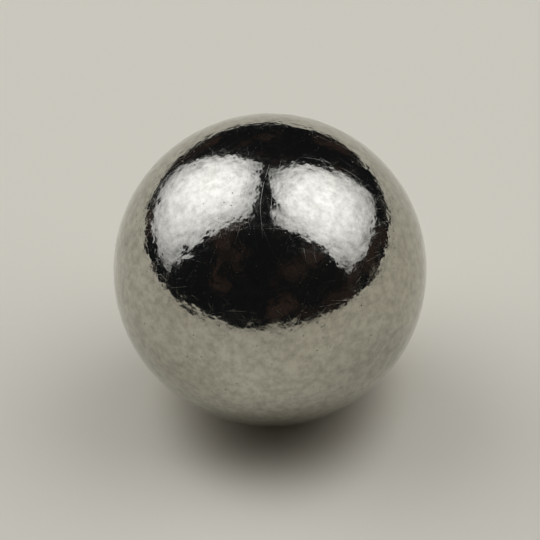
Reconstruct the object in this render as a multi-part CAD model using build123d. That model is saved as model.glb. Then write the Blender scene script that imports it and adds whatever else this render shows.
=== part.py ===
from build123d import *
import os

# A sphere magnet: a small ball of sintered neodymium magnet with a bright nickel skin.
#
# The real ball is pressed and sintered as a rough blank, ground round between plates as a
# bearing ball is, and plated in a tumbling barrel. It is then magnetised straight across,
# so it has two poles, and no mark, flat or seam that shows where they are. It comes as one
# piece that can't be taken apart, and the skin is a few hundredths of a millimetre thick,
# so it is one solid.
#
# Frame, in millimetres: the origin is the centre of the ball. +Z is the magnetic axis, and
# it points to the north pole.

# Driving size: the finished diameter, measured over the plating
ball_diameter = 6.0

PARTS_FOLDER = "parts"


def magnet_ball():
    """The ground and plated ball, centred on the origin with its magnetic axis along +Z."""
    with BuildPart() as ball:
        Sphere(radius=ball_diameter / 2)
    return ball.part


def write_node(shape, node):
    """Writes one piece as parts/NODE.step, named for its node."""
    shape.label = node
    export_step(shape, os.path.join(PARTS_FOLDER, node + ".step"))


os.makedirs(PARTS_FOLDER, exist_ok=True)
write_node(magnet_ball(), "magnet_ball")
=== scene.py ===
import math

import bpy
import numpy as np
from mathutils import Matrix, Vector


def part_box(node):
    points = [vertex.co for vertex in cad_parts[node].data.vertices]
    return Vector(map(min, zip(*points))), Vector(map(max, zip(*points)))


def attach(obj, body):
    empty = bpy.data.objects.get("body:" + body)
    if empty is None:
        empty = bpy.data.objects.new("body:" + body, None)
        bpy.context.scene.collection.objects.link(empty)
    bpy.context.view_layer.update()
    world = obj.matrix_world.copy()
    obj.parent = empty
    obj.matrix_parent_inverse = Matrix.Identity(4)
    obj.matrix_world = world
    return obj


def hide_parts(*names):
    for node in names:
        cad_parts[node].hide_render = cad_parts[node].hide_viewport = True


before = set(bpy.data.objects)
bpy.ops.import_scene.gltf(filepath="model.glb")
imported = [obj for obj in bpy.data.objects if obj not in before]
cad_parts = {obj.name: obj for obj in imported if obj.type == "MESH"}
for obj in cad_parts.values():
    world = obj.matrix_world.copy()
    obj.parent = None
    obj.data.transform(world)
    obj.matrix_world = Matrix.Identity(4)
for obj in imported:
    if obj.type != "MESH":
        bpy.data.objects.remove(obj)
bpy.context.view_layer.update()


# The ball. Magnet powder is pressed and sintered as a rough blank, then ground round between
# two plates as a bearing ball is. It is plated in a tumbling barrel, which leaves a faint
# orange-peel wave in the nickel and broad, shallow knocks.

ball_low, ball_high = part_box("magnet_ball")
ball_radius = (ball_high.z - ball_low.z) / 2
ball_centre = np.array((ball_low + ball_high) / 2)

GRID_CELLS = 126
DRAW_SEED = 6

# Lengths are in metres, and a slope or steepness is a rise over a run.
PEEL_WAVES = 90
PEEL_SHORTEST = 0.00024
PEEL_LONGEST = 0.00070
PEEL_SLOPE = 0.0135

KNOCK_COUNT = 34
KNOCK_SMALLEST = 0.00016
KNOCK_LARGEST = 0.00034
KNOCK_STEEPNESS = 0.016
KNOCK_SHALLOWEST = 0.4
KNOCK_RIM = 0.35


def ball_lattice(cells):
    """Directions on the unit sphere and the quads between them, with no seam and no pole.

    Each side of a cube is a grid of two whole-number parameters from 0 to cells. A number m
    becomes tan(45 degrees times (2 m / cells - 1)), so the grid lines lie at equal angles,
    and each point is then drawn in along its own ray to length 1. Where two sides meet they
    have the same whole numbers, so they share those points.
    """
    a, b = np.meshgrid(np.arange(cells + 1), np.arange(cells + 1), indexing="ij")
    number = np.arange(a.size).reshape(a.shape)
    corners = number[:-1, :-1], number[1:, :-1], number[1:, 1:], number[:-1, 1:]
    side_quads = np.stack([corner.ravel() for corner in corners], axis=1)
    points, quads = [], []
    for axis in range(3):
        for level in (0, cells):
            side = np.empty((a.size, 3), int)
            side[:, axis] = level
            side[:, (axis + 1) % 3] = a.ravel()
            side[:, (axis + 2) % 3] = b.ravel()
            outward = side_quads if level else side_quads[:, ::-1]
            quads.append(outward + a.size * len(points))
            points.append(side)
    shared, place = np.unique(np.concatenate(points), axis=0, return_inverse=True)
    ray = np.tan(math.pi / 4 * (2 * shared / cells - 1))
    unit = ray / np.linalg.norm(ray, axis=1, keepdims=True)
    return unit, place.ravel()[np.concatenate(quads)]


def random_headings(count, draw):
    """Directions spread evenly over the unit sphere by chance."""
    heading = draw.normal(size=(count, 3))
    return heading / np.linalg.norm(heading, axis=1, keepdims=True)


def orange_peel(unit, draw):
    """Height of the plating's wave over the true sphere, in metres.

    The sum of plane waves through the ball, each cos(2 pi x distance / wavelength + phase)
    along a heading of its own. The slope that they add up to, squared, is a third of the
    sum of (2 pi / wavelength) squared, and one scale brings it to the slope wanted.
    """
    heading = random_headings(PEEL_WAVES, draw)
    wavelength = draw.uniform(PEEL_SHORTEST, PEEL_LONGEST, PEEL_WAVES)
    phase = draw.uniform(0, 2 * math.pi, PEEL_WAVES)
    pace = 2 * math.pi * heading / wavelength[:, None]
    waves = np.cos(ball_radius * unit @ pace.T + phase)
    slope = math.sqrt((pace**2).sum() / 3)
    return PEEL_SLOPE / slope * waves.sum(axis=1)


def knocks(unit, draw):
    """Height of the knocks over the true sphere, in metres.

    With s the distance from a knock's middle over its radius, the height is its depth times
    rim share x (s (2 - s)) to the power 4 where s < 2, less (1 - s^2)^2 where s < 1. The
    radius grows with the cube of a random number, so most knocks are small.
    """
    middle = random_headings(KNOCK_COUNT, draw)
    radius = KNOCK_SMALLEST + (KNOCK_LARGEST - KNOCK_SMALLEST) * draw.random(KNOCK_COUNT) ** 3
    depth = KNOCK_STEEPNESS * radius * draw.uniform(KNOCK_SHALLOWEST, 1, KNOCK_COUNT)
    s = ball_radius * np.sqrt(np.maximum(2 - 2 * unit @ middle.T, 0)) / radius
    bowl = np.where(s < 1, (1 - s**2) ** 2, 0)
    rim = np.where(s < 2, (s * (2 - s)) ** 4, 0)
    return (depth * (KNOCK_RIM * rim - bowl)).sum(axis=1)


def surface_object(name, points, quads):
    """A smooth-shaded mesh object at the origin, from whole arrays of points and quads."""
    mesh = bpy.data.meshes.new(name)
    mesh.vertices.add(len(points))
    mesh.vertices.foreach_set("co", points.astype(np.float32).ravel())
    mesh.loops.add(quads.size)
    mesh.loops.foreach_set("vertex_index", quads.astype(np.int32).ravel())
    mesh.polygons.add(len(quads))
    mesh.polygons.foreach_set("loop_start", np.arange(0, quads.size, 4, dtype=np.int32))
    mesh.polygons.foreach_set("use_smooth", np.ones(len(quads), bool))
    mesh.update(calc_edges=True)
    mesh.validate()
    made = bpy.data.objects.new(name, mesh)
    bpy.context.scene.collection.objects.link(made)
    return made


draw = np.random.default_rng(DRAW_SEED)
unit, quads = ball_lattice(GRID_CELLS)
skin = ball_radius + orange_peel(unit, draw) + knocks(unit, draw)
ball = surface_object("ball_skin", ball_centre + unit * skin[:, None], quads)


# The plating. Bright nickel is a pale metal, a little warmer than chrome, and here it is a
# little dulled. Handling leaves hairlines that run every way, pits where the sintered grain
# opens to the surface, small nicks, and a mottle of fine dull specks that lie in clouds.

NICKEL = (0.512, 0.498, 0.435, 1)
NICKEL_WARM = (0.482, 0.461, 0.387, 1)
NICKEL_DULL = (0.326, 0.314, 0.265, 1)
PIT_BROWN = (0.100, 0.086, 0.068, 1)

# Lengths across the skin are in millimetres from here to the end of this section.
MM_IN_METRE = 1000
HAIRLINE_SETS = 9
GOLDEN_ANGLE = math.pi * (3 - math.sqrt(5))
LANE_NARROWEST = 0.22
LANE_STEP = 0.03
LANE_SIZES = 4
WIDTH_FINEST = 0.007
WIDTH_STEP = 0.001
WIDTH_SIZES = 3
RUN_SHORTEST = 0.45
RUN_STEP = 0.15
RUN_SIZES = 3
HAIRLINE_SHARE = 0.42
HAIRLINE_DRAW = 3.7

FINE_PITS = {"Spacing": 0.13, "Size": 0.050, "Share": 0.40}
LARGE_PITS = {"Spacing": 0.50, "Size": 0.090, "Share": 0.50}
NICKS = {"Spacing": 0.80, "Size": 0.260, "Share": 0.60}

# The settings of each noise, with Scale to the millimetre. A range is the span of the noise
# over which its mask goes from 0 to 1.
RUBBED_PATCHES = {"Scale": 0.55, "Detail": 4.0, "Roughness": 0.60, "Distortion": 0.8}
WARM_PATCHES = {"Scale": 0.38, "Detail": 3.0, "Roughness": 0.50}
SPECK_CLOUDS = {"Scale": 1.6, "Detail": 3.0, "Roughness": 0.65}
SPECKS = {"Scale": 6.5, "Detail": 4.0, "Roughness": 0.68}
PEBBLES = {"Scale": 4.5, "Detail": 1.5, "Roughness": 0.50}
GRAIN = {"Scale": 9.5, "Detail": 1.0, "Roughness": 0.50}
CLOUD_PULL = 0.35
RUBBED_RANGE = (0.45, 0.75)
WARM_RANGE = (0.35, 0.70)
DULL_RANGE = (0.54, 0.93)

ROUGHNESS_CLEAN = 0.045
ROUGHER_RUBBED = 0.035
ROUGHER_DULL = 0.12
ROUGHER_HAIRLINE = 0.14
ROUGHER_PIT = 0.30
PIT_STAIN = 0.75

# Heights on the skin are in micrometres.
MICROMETRE = 0.000001
PEBBLE_HEIGHT = 7.0
GRAIN_HEIGHT = 3.0
HAIRLINE_DEPTH = 0.25
PIT_DEPTH = 1.2
NICK_DEPTH = 2.6


def feed(tree, socket, value):
    """Links a value that is itself a socket into this one, and sets any other."""
    if isinstance(value, bpy.types.NodeSocket):
        tree.links.new(value, socket)
    else:
        socket.default_value = value


def add_node(tree, kind, settings=None, **values):
    """A node of that kind with its settings and inputs. Inputs are named with _ for a space."""
    node = tree.nodes.new("ShaderNode" + kind)
    for name, value in (settings or {}).items():
        setattr(node, name, value)
    for name, value in values.items():
        feed(tree, node.inputs[name.replace("_", " ")], value)
    return node


def math_node(tree, operation, *values):
    """What the operation makes of the values, taken in their order."""
    node = add_node(tree, "Math", {"operation": operation})
    for socket, value in zip(node.inputs, values):
        feed(tree, socket, value)
    return node.outputs["Value"]


def vector_node(tree, operation, *values, **named):
    """The same for vectors. It gives both outputs, because some operations put out a number."""
    node = add_node(tree, "VectorMath", {"operation": operation}, **named)
    for socket, value in zip(node.inputs, values):
        feed(tree, socket, value)
    return node.outputs


def noise(tree, place, settings):
    """A smooth noise that fills space, read at each place. It lies round 0.5."""
    return add_node(tree, "TexNoise", Vector=place, **settings).outputs["Fac"]


def ramp(tree, value, low, high, to_low=0.0, to_high=1.0, shape="SMOOTHSTEP"):
    """The value carried from low..high to to_low..to_high, and held at both ends."""
    return add_node(tree, "MapRange", {"interpolation_type": shape}, Value=value, From_Min=low,
                    From_Max=high, To_Min=to_low, To_Max=to_high).outputs["Result"]


def mix_colours(tree, share, first, second):
    """First colour x (1 - share) + second colour x share."""
    mix = add_node(tree, "Mix", {"data_type": "RGBA"}, Factor=share, A=first, B=second)
    return mix.outputs["Result"]


def new_group(name, given, result):
    """An empty node group: its tree, its input sockets by name and the socket that it puts out."""
    tree = bpy.data.node_groups.new(name, "ShaderNodeTree")
    for socket_name, kind in given.items():
        tree.interface.new_socket(socket_name, in_out="INPUT", socket_type="NodeSocket" + kind)
    tree.interface.new_socket(result, in_out="OUTPUT", socket_type="NodeSocketFloat")
    inside = tree.nodes.new("NodeGroupInput").outputs
    return tree, inside, tree.nodes.new("NodeGroupOutput").inputs[result]


def place_group(tree, group, **values):
    """The group as a node of the tree, with values of its own, and its outputs."""
    node = tree.nodes.new("ShaderNodeGroup")
    node.node_tree = group
    for name, value in values.items():
        feed(tree, node.inputs[name], value)
    return node.outputs


def hairline_group():
    """Broken fine scratches that all lie across one heading, as one pass over grit leaves.

    The distance along the heading, bent by a slow noise, is cut into lanes. Each lane has
    one line at a random place in it, kept only where a noise of the lane's own is high. The
    mask is 1 in the middle of a line and 0 at its edges. It fades where the heading runs
    almost straight out of the ball, because the lanes would be wide there.
    """
    bend_scale = 0.22
    bend_detail = 1.0
    bend_reach = 2.4
    lane_margin = 0.2
    lane_seeds = 17.31
    lane_apart = 60.0
    break_detail = 2.0
    break_low = 0.72
    break_pull = 0.40
    break_soft = 0.05
    core_share = 0.25
    least_width = 0.0001
    fade_from = 0.72
    fade_to = 0.90

    inputs = {"Place": "Vector", "Heading": "Vector", "Lane": "Float", "Width": "Float",
              "Run": "Float", "Share": "Float", "Draw": "Float"}
    tree, given, mask = new_group("hairlines", inputs, "Mask")
    bend = add_node(tree, "TexNoise", {"noise_dimensions": "4D"}, Vector=given["Place"],
                    W=given["Draw"], Scale=bend_scale, Detail=bend_detail).outputs["Fac"]
    along = vector_node(tree, "DOT_PRODUCT", given["Place"], given["Heading"])["Value"]
    bent = math_node(tree, "MULTIPLY_ADD", bend, bend_reach, along)
    lanes = math_node(tree, "DIVIDE", bent, given["Lane"])
    lane = math_node(tree, "FLOOR", lanes)
    seed = math_node(tree, "MULTIPLY_ADD", given["Draw"], lane_seeds, lane)
    chance = add_node(tree, "TexWhiteNoise", {"noise_dimensions": "1D"}, W=seed).outputs

    middle = ramp(tree, chance["Value"], 0.0, 1.0, lane_margin, 1 - lane_margin, "LINEAR")
    aside = math_node(tree, "SUBTRACT", math_node(tree, "FRACT", lanes), middle)
    aside = math_node(tree, "MULTIPLY", math_node(tree, "ABSOLUTE", aside), given["Lane"])

    apart = vector_node(tree, "SCALE", chance["Color"], Scale=lane_apart)["Vector"]
    own_place = vector_node(tree, "ADD", given["Place"], apart)["Vector"]
    breaks = add_node(tree, "TexNoise", Vector=own_place, Detail=break_detail,
                      Scale=math_node(tree, "DIVIDE", 1.0, given["Run"])).outputs["Fac"]
    pulled = math_node(tree, "MULTIPLY", given["Share"], break_pull)
    edge = math_node(tree, "SUBTRACT", break_low, pulled)
    kept = ramp(tree, breaks, edge, math_node(tree, "ADD", edge, break_soft))

    half = math_node(tree, "MULTIPLY", math_node(tree, "MULTIPLY", given["Width"], 0.5), kept)
    core = math_node(tree, "MULTIPLY", half, core_share)
    line = ramp(tree, aside, core, math_node(tree, "ADD", half, least_width), 1.0, 0.0)
    slant = math_node(tree, "DIVIDE", along, ball_radius * MM_IN_METRE)
    level = ramp(tree, math_node(tree, "ABSOLUTE", slant), fade_from, fade_to, 1.0, 0.0)
    line = math_node(tree, "MULTIPLY", line, level)
    feed(tree, mask, math_node(tree, "MULTIPLY", line, kept))
    return tree


def pit_group():
    """Round hollows of mixed size, one to a cell of a Voronoi pattern and only in some cells.

    The pattern fills space, and the skin cuts its balls at any height, so the sizes vary
    twice over. The mask is 1 on a hollow's floor and falls to 0 at its edge.
    """
    smallest = 0.35
    floor_share = 0.30

    inputs = {"Place": "Vector", "Spacing": "Float", "Size": "Float", "Share": "Float"}
    tree, given, mask = new_group("pits", inputs, "Mask")
    cell = add_node(tree, "TexVoronoi", Vector=given["Place"],
                    Scale=math_node(tree, "DIVIDE", 1.0, given["Spacing"])).outputs
    chance = add_node(tree, "SeparateColor", Color=cell["Color"]).outputs
    chosen = math_node(tree, "LESS_THAN", chance["Red"], given["Share"])
    away = math_node(tree, "MULTIPLY", cell["Distance"], given["Spacing"])
    grown = ramp(tree, chance["Green"], 0.0, 1.0, smallest, 1.0)
    size = math_node(tree, "MULTIPLY", given["Size"], grown)
    half = math_node(tree, "MULTIPLY", size, 0.5)
    hollow = ramp(tree, away, math_node(tree, "MULTIPLY", half, floor_share), half, 1.0, 0.0)
    feed(tree, mask, math_node(tree, "MULTIPLY", hollow, chosen))
    return tree


def all_hairlines(tree, place):
    """One mask of all the sets of hairlines: the highest of their masks at each place.

    The sets' headings are spread over half a ball. They rise in equal steps, and each is
    turned by the golden angle from the one before.
    """
    hairlines = hairline_group()
    mask = 0.0
    for number in range(HAIRLINE_SETS):
        rise = (number + 0.5) / HAIRLINE_SETS
        turn = number * GOLDEN_ANGLE
        level = math.sqrt(1 - rise**2)
        one_set = place_group(tree, hairlines, Place=place,
                              Heading=(level * math.cos(turn), level * math.sin(turn), rise),
                              Lane=LANE_NARROWEST + LANE_STEP * (number % LANE_SIZES),
                              Width=WIDTH_FINEST + WIDTH_STEP * (number % WIDTH_SIZES),
                              Run=RUN_SHORTEST + RUN_STEP * (number % RUN_SIZES),
                              Share=HAIRLINE_SHARE, Draw=HAIRLINE_DRAW * number)
        mask = math_node(tree, "MAXIMUM", mask, one_set["Mask"])
    return mask


def nickel_plating():
    """Bright nickel with hairlines, pits, nicks, rubbed patches and clouds of dull specks.

    The roughness is that of clean nickel plus each mask x what it adds. The height is the
    sum of each mask x its own rise, where a depth is a rise below 0.
    """
    material = bpy.data.materials.new("nickel_plating")
    material.use_nodes = True
    tree = material.node_tree
    metal = tree.nodes["Principled BSDF"]
    metal.inputs["Metallic"].default_value = 1.0
    at = add_node(tree, "TexCoord").outputs["Object"]
    place = vector_node(tree, "SCALE", at, Scale=MM_IN_METRE)["Vector"]

    hairline = all_hairlines(tree, place)
    pits = pit_group()
    fine_pit = place_group(tree, pits, Place=place, **FINE_PITS)["Mask"]
    large_pit = place_group(tree, pits, Place=place, **LARGE_PITS)["Mask"]
    pit = math_node(tree, "MAXIMUM", fine_pit, large_pit)
    nick = place_group(tree, pits, Place=place, **NICKS)["Mask"]

    rubbed = ramp(tree, noise(tree, place, RUBBED_PATCHES), *RUBBED_RANGE)
    warm = ramp(tree, noise(tree, place, WARM_PATCHES), *WARM_RANGE)
    clouded = math_node(tree, "MULTIPLY_ADD", noise(tree, place, SPECK_CLOUDS), CLOUD_PULL,
                        noise(tree, place, SPECKS))
    dull = ramp(tree, clouded, *DULL_RANGE, shape="LINEAR")

    colour = mix_colours(tree, warm, NICKEL, NICKEL_WARM)
    colour = mix_colours(tree, dull, colour, NICKEL_DULL)
    colour = mix_colours(tree, math_node(tree, "MULTIPLY", pit, PIT_STAIN), colour, PIT_BROWN)
    feed(tree, metal.inputs["Base Color"], colour)

    rough = ROUGHNESS_CLEAN
    for mask, rougher in ((rubbed, ROUGHER_RUBBED), (dull, ROUGHER_DULL),
                          (hairline, ROUGHER_HAIRLINE), (pit, ROUGHER_PIT)):
        rough = math_node(tree, "MULTIPLY_ADD", mask, rougher, rough)
    feed(tree, metal.inputs["Roughness"], rough)

    pebbled = noise(tree, place, PEBBLES)
    grained = noise(tree, place, GRAIN)
    height = 0.0
    for mask, rise in ((pebbled, PEBBLE_HEIGHT), (grained, GRAIN_HEIGHT),
                       (hairline, -HAIRLINE_DEPTH), (pit, -PIT_DEPTH), (nick, -NICK_DEPTH)):
        height = math_node(tree, "MULTIPLY_ADD", mask, rise, height)
    bump = add_node(tree, "Bump", Height=height, Strength=1.0, Distance=MICROMETRE)
    feed(tree, metal.inputs["Normal"], bump.outputs["Normal"])
    return material


ball.data.materials.append(nickel_plating())
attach(ball, "root")
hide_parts("magnet_ball")


# The floor. A pale sheet of paper, with a painted shadow under the ball and a little painted
# light round it. Away from the ball it glows at its own tone for the camera and in mirrors, so
# the background stays pale. In front, mirrors alone see it painted dark, a painted reflection of
# the dark room, which gives the black on the ball its soft lower edge.

FLOOR_HALF = 1.2
FLOOR_COLOUR = (0.817, 0.768, 0.622, 1)
# Painted shadow: the paper's colour in the patch under the ball.
PAINTED_SHADOW_COLOUR = (0.473, 0.432, 0.336, 1)
FLOOR_ROUGHNESS = 0.9
FLOOR_SPECULAR = 0.2
FAR_COLOUR = (0.622, 0.612, 0.574, 1)
# Painted reflection: the dark that mirrors alone see on the paper in front.
PAINTED_FRONT_DARK = (0.012, 0.012, 0.012, 1)

# The photograph has a deeper contact shadow than these lights give, and a lighter soft shadow
# round it. So a shadow is painted on the paper in a patch under the ball, which is narrower from
# side to side, and near the ball a share of the paper's own glow is mixed in as painted light.
PAINTED_SHADOW_NARROWER = 1.5
PAINTED_LIGHT_SHARE = 0.2

# Distances from the middle of the ball, which is one radius over the floor.
PAINTED_SHADOW_FULL = 1.08 * ball_radius
PAINTED_SHADOW_GONE = 1.64 * ball_radius
PAINTED_LIGHT_STARTS = 1.12 * ball_radius
PAINTED_LIGHT_FULL = 1.56 * ball_radius
FAR_STARTS = 0.05
FAR_FULL = 0.15

# Distances from there towards the camera, level with the floor.
FRONT_STARTS = 0.02
FRONT_FULL = 0.16

CORNERS = np.array([(-1, -1), (1, -1), (1, 1), (-1, 1)])


def pale_floor():
    """Pale paper, mixed with a glow of its own tone and then with the dark.

    The paper's colour goes from the painted shadow under the ball to the floor's with the
    distance from the ball's middle, in which X is first multiplied by PAINTED_SHADOW_NARROWER.
    The glow's share is the higher of the near painted light and the far ramp, for the camera
    and mirrors. The dark's share is the ramp in front, a painted reflection for mirrors alone.
    """
    material = bpy.data.materials.new("pale_floor")
    material.use_nodes = True
    tree = material.node_tree
    paper = tree.nodes["Principled BSDF"]
    paper.inputs["Roughness"].default_value = FLOOR_ROUGHNESS
    paper.inputs["Specular IOR Level"].default_value = FLOOR_SPECULAR

    ray = add_node(tree, "LightPath").outputs
    mirrored = math_node(tree, "MAXIMUM", ray["Is Glossy Ray"], ray["Is Transmission Ray"])
    seen = math_node(tree, "MAXIMUM", mirrored, ray["Is Camera Ray"])
    at = add_node(tree, "TexCoord").outputs["Object"]
    away = vector_node(tree, "LENGTH", at)["Value"]
    back = add_node(tree, "SeparateXYZ", Vector=at).outputs["Y"]
    ahead = math_node(tree, "MULTIPLY", back, -1.0)
    # Painted shadow: the paper's colour darkens under the ball, in a patch narrower from side to
    # side.
    narrowed = vector_node(tree, "MULTIPLY", at, (PAINTED_SHADOW_NARROWER, 1, 1))["Vector"]
    out_of_painted_shadow = ramp(tree, vector_node(tree, "LENGTH", narrowed)["Value"], PAINTED_SHADOW_FULL, PAINTED_SHADOW_GONE)
    feed(tree, paper.inputs["Base Color"], mix_colours(tree, out_of_painted_shadow, PAINTED_SHADOW_COLOUR, FLOOR_COLOUR))
    # Painted light: near the ball a share of the paper's own glow is mixed in, which lightens the
    # soft shadow round it.
    painted_light = ramp(tree, away, PAINTED_LIGHT_STARTS, PAINTED_LIGHT_FULL, 0.0, PAINTED_LIGHT_SHARE)
    far = ramp(tree, away, FAR_STARTS, FAR_FULL)
    # From here far holds both the far glow and the painted light near the ball.
    far = math_node(tree, "MULTIPLY", math_node(tree, "MAXIMUM", far, painted_light), seen)
    # Painted reflection: in front the paper turns dark for mirrors alone.
    front = math_node(tree, "MULTIPLY", ramp(tree, ahead, FRONT_STARTS, FRONT_FULL), mirrored)

    shown = paper.outputs["BSDF"]
    for share, colour in ((far, FAR_COLOUR), (front, PAINTED_FRONT_DARK)):
        glow = add_node(tree, "Emission", Color=colour, Strength=1.0).outputs["Emission"]
        mixed = add_node(tree, "MixShader", Fac=share)
        tree.links.new(shown, mixed.inputs[1])
        tree.links.new(glow, mixed.inputs[2])
        shown = mixed.outputs["Shader"]
    tree.links.new(shown, tree.nodes["Material Output"].inputs["Surface"])
    return material


floor_points = np.column_stack([CORNERS * FLOOR_HALF, np.full(len(CORNERS), ball_low.z)])
floor = surface_object("floor_sheet", floor_points, np.array([[0, 1, 2, 3]]))
floor.data.materials.append(pale_floor())


# The lights. Two large softboxes lean together over the ball like the two sides of a tent,
# with a narrow gap at the top. Each is brightest in the middle of its cloth, and the room
# round them is dark, with a few dim warm things in it.

SOFTBOX_GLOW = (2.04, 2.08, 2.28, 1)
GLOW_LOST_ACROSS = 0.6
GLOW_LOST_UP = 0.7

ROOM_DARK = (0.0098, 0.0107, 0.0124, 1)
ROOM_WARM = (0.038, 0.026, 0.0225, 1)
ROOM_THINGS = {"Scale": 3.2, "Detail": 1.0, "Roughness": 0.5}
THINGS_RANGE = (0.52, 0.72)


def softbox_cloth():
    """A glow on the front alone.

    At p across and s up, both from -1 to 1, its strength is (1 - lost across x p^2) times
    (1 - lost up x s^2).
    """
    material = bpy.data.materials.new("softbox_cloth")
    material.use_nodes = True
    tree = material.node_tree
    tree.nodes.remove(tree.nodes["Principled BSDF"])
    cloth = add_node(tree, "UVMap", {"uv_map": "cloth"}).outputs["UV"]
    at = add_node(tree, "SeparateXYZ", Vector=cloth).outputs
    strength = math_node(tree, "SUBTRACT", 1.0, add_node(tree, "NewGeometry").outputs["Backfacing"])
    for axis, lost in (("X", GLOW_LOST_ACROSS), ("Y", GLOW_LOST_UP)):
        square = math_node(tree, "MULTIPLY", at[axis], at[axis])
        left = math_node(tree, "MULTIPLY_ADD", square, -lost, 1.0)
        strength = math_node(tree, "MULTIPLY", strength, left)
    glow = add_node(tree, "Emission", Color=SOFTBOX_GLOW, Strength=strength)
    tree.links.new(glow.outputs["Emission"], tree.nodes["Material Output"].inputs["Surface"])
    return material


def softbox(name, centre, facing, lean, roll, width, height):
    """A glowing rectangle with its middle at centre.

    It faces facing degrees round from +X, its top leans lean degrees over towards what it
    faces, and it is turned roll degrees in its own plane. The corners are centre plus or
    minus half its width along its bottom edge and half its height along its side edge.
    """
    turn, tilt, spin = math.radians(facing), math.radians(lean), math.radians(roll)
    level = np.array([-math.sin(turn), math.cos(turn), 0])
    slope = np.array([math.cos(turn) * math.sin(tilt), math.sin(turn) * math.sin(tilt),
                      math.cos(tilt)])
    across = level * math.cos(spin) + slope * math.sin(spin)
    up = slope * math.cos(spin) - level * math.sin(spin)
    points = (np.array(centre) + CORNERS[:, :1] * across * width / 2
              + CORNERS[:, 1:] * up * height / 2)
    made = surface_object(name, points, np.array([[0, 1, 2, 3]]))
    cloth = made.data.uv_layers.new(name="cloth")
    cloth.data.foreach_set("uv", CORNERS.astype(np.float32).ravel())
    made.data.materials.append(softbox_cloth())
    made.visible_camera = False


softbox("softbox_left", centre=(-0.129, 0.112, 0.198), facing=-9.5, lean=32.7, roll=-0.9,
        width=0.313, height=0.384)
softbox("softbox_right", centre=(0.167, 0.045, 0.247), facing=-179.1, lean=36.8, roll=3.0,
        width=0.355, height=0.433)

room = bpy.data.worlds.new("dark_room")
bpy.context.scene.world = room
room.use_nodes = True
tree = room.node_tree
things = noise(tree, add_node(tree, "TexCoord").outputs["Generated"], ROOM_THINGS)
shade = mix_colours(tree, ramp(tree, things, *THINGS_RANGE), ROOM_DARK, ROOM_WARM)
feed(tree, tree.nodes["Background"].inputs["Color"], shade)


# The camera. It stands where the photograph's camera stood from this ball, with a longer
# lens, so that the ball fills most of the picture. The ball is near the photograph's left
# side, where the perspective tips what is upright a little to the left, and the roll does so.

CAMERA_DISTANCE = 0.222
CAMERA_ELEVATION = math.radians(40.5)
CAMERA_ROLL = math.radians(-4.0)
BALL_SHARE = 0.58
CLIP_START = 0.01
CLIP_END = 10.0

camera_data = bpy.data.cameras.new("camera")
camera = bpy.data.objects.new("camera", camera_data)
bpy.context.scene.collection.objects.link(camera)
from_ball = np.array([0, -math.cos(CAMERA_ELEVATION), math.sin(CAMERA_ELEVATION)])
camera.location = ball_centre + CAMERA_DISTANCE * from_ball
tipped = Matrix.Rotation(math.pi / 2 - CAMERA_ELEVATION, 3, "X")
camera.rotation_euler = (tipped @ Matrix.Rotation(CAMERA_ROLL, 3, "Z")).to_euler()
ball_half_angle = math.asin(ball_radius / CAMERA_DISTANCE)
camera_data.lens = camera_data.sensor_width / 2 * BALL_SHARE / math.tan(ball_half_angle)
camera_data.clip_start = CLIP_START
camera_data.clip_end = CLIP_END
bpy.context.scene.camera = camera

bpy.context.scene.view_settings.view_transform = "Standard"
